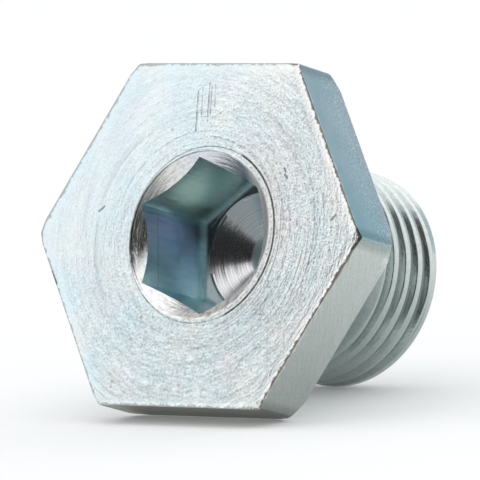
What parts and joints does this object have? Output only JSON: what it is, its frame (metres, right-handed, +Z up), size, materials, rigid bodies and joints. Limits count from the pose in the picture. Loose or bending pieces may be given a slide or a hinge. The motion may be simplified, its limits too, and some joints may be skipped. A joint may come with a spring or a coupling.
{
  "type": "oil sump plug",
  "caption": "Screw-in sump plug: flat hexagon head with a countersunk hexagon key socket, plain relief neck and a short right-hand fine thread.",
  "frame": {"origin": "on the floor, straight below the centre of the plug's box, as it lies at rest", "axes": "+Z up from the floor; the head's face looks to -Y and up, and the thread points to +Y and down; +X across the head's corners, its longest extent"},
  "size_m": [0.0288, 0.0246, 0.0252],
  "materials": {
    "zinc_plated_steel": "bright zinc plate over turned and rolled steel"
  },
  "bodies": {
    "root": {"sump_plug": "zinc_plated_steel"}
  },
  "joints": []
}
